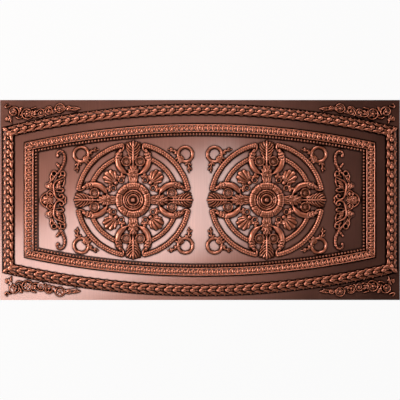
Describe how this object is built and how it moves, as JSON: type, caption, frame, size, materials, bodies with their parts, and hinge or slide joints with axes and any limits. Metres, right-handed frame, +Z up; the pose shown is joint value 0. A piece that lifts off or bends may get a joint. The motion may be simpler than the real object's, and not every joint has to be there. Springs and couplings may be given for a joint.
{
  "type": "vinyl ceiling tile",
  "caption": "Thin formed vinyl ceiling tile with a bowed rope moulding, a bowed stepped leaf frame, round floral medallions and scroll sprays, in antique copper.",
  "frame": {"origin": "middle of the flat back of the sheet, where it lies on the floor", "axes": "+X along the tile, +Y across it, +Z up out of the face that shows"},
  "size_m": [1.2192, 0.6096, 0.0118],
  "materials": {
    "antique_copper_vinyl": "satin antique copper film with a dark wash in the recesses"
  },
  "bodies": {
    "root": {"ceiling_tile": "antique_copper_vinyl"}
  },
  "joints": []
}
